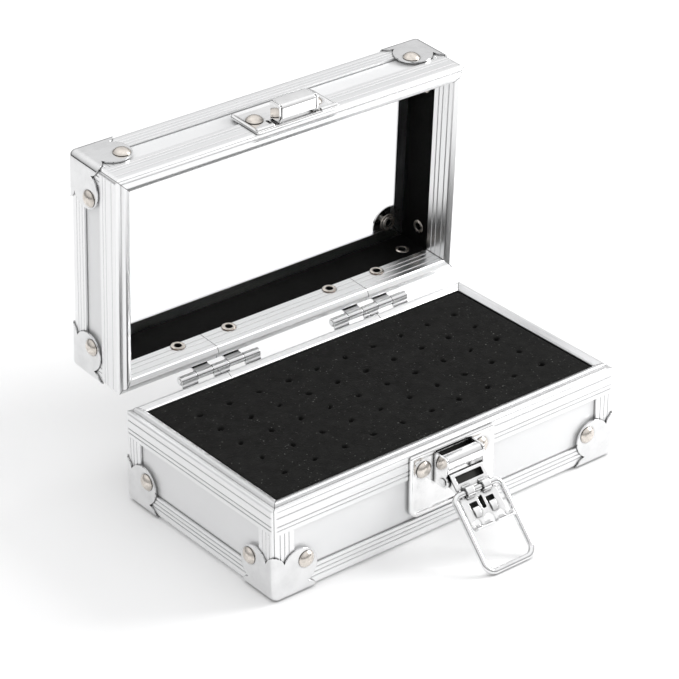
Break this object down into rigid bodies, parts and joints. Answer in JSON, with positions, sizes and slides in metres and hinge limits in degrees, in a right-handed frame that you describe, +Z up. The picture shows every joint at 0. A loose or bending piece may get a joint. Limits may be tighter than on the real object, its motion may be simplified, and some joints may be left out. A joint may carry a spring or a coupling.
{
  "type": "small-shank bit storage case",
  "caption": "Small aluminium-framed storage case with a clear-window lid, punched foam insert, riveted corner protectors, butt hinges and a draw latch with wire bail.",
  "frame": {"origin": "centre of the underside in plan, on the plane the case stands on", "axes": "+X along the length to the right as seen from the latch, -Y towards the latch side, +Z up"},
  "size_m": [0.1548, 0.1481, 0.1303],
  "materials": {
    "rail_aluminium": "satin anodised, fine ribs",
    "wall_laminate": "smooth silver laminate on board",
    "plated_steel": "bright zinc plate",
    "nickel_rivet": "warm nickel plate",
    "black_foam": "fine closed-cell foam",
    "black_lining": "matt black lining sheet",
    "clear_window": "clear polished sheet"
  },
  "bodies": {
    "case_base": {"base_front_panel": "wall_laminate", "base_right_panel": "wall_laminate", "base_back_panel": "wall_laminate", "base_left_panel": "wall_laminate", "base_front_edge_angle": "rail_aluminium", "base_right_edge_angle": "rail_aluminium", "base_back_edge_angle": "rail_aluminium", "base_left_edge_angle": "rail_aluminium", "base_upright_front_left": "rail_aluminium", "base_upright_front_right": "rail_aluminium", "base_upright_back_right": "rail_aluminium", "base_upright_back_left": "rail_aluminium", "base_protector_front_left": "plated_steel", "base_protector_front_right": "plated_steel", "base_protector_back_right": "plated_steel", "base_protector_back_left": "plated_steel", "base_floor_board": "wall_laminate", "base_rim": "rail_aluminium", "base_rim_back": "rail_aluminium", "base_rivets": "nickel_rivet", "base_hinge_rivets": "nickel_rivet", "foam_insert": "black_foam", "latch_plate": "plated_steel", "latch_bracket": "plated_steel", "latch_pin": "plated_steel", "latch_rivets": "nickel_rivet", "hinge_base_leaf_left": "plated_steel", "hinge_base_leaf_right": "plated_steel", "hinge_pin_left": "plated_steel", "hinge_pin_right": "plated_steel"},
    "lid": {"lid_front_panel": "wall_laminate", "lid_right_panel": "wall_laminate", "lid_back_panel": "wall_laminate", "lid_left_panel": "wall_laminate", "lid_front_edge_angle": "rail_aluminium", "lid_right_edge_angle": "rail_aluminium", "lid_back_edge_angle": "rail_aluminium", "lid_left_edge_angle": "rail_aluminium", "lid_upright_front_left": "rail_aluminium", "lid_upright_front_right": "rail_aluminium", "lid_upright_back_right": "rail_aluminium", "lid_upright_back_left": "rail_aluminium", "lid_protector_front_left": "plated_steel", "lid_protector_front_right": "plated_steel", "lid_protector_back_right": "plated_steel", "lid_protector_back_left": "plated_steel", "lid_lining": "black_lining", "window_pane": "clear_window", "lid_rim": "rail_aluminium", "lid_rim_back": "rail_aluminium", "lid_rivets": "nickel_rivet", "lid_hinge_rivets": "nickel_rivet", "strike": "plated_steel", "strike_rivets": "nickel_rivet", "hinge_lid_leaf_left": "plated_steel", "hinge_lid_leaf_right": "plated_steel"},
    "lever": {"latch_lever": "plated_steel"},
    "bail": {"latch_bail": "plated_steel"}
  },
  "joints": [
    {"name": "lid_hinge", "type": "hinge", "parent": "case_base", "child": "lid", "pos_m": [0, 0.0437, 0.0368], "axis": [1, 0, 0], "range_deg": [0, 87]},
    {"name": "lever_pivot", "type": "hinge", "parent": "case_base", "child": "lever", "pos_m": [0, -0.0472, 0.0236], "axis": [1, 0, 0], "range_deg": [-45, 43.3]},
    {"name": "bail_pivot", "type": "hinge", "parent": "lever", "child": "bail", "pos_m": [0, -0.05457, 0.02161], "axis": [1, 0, 0], "range_deg": [-95, 0]}
  ]
}
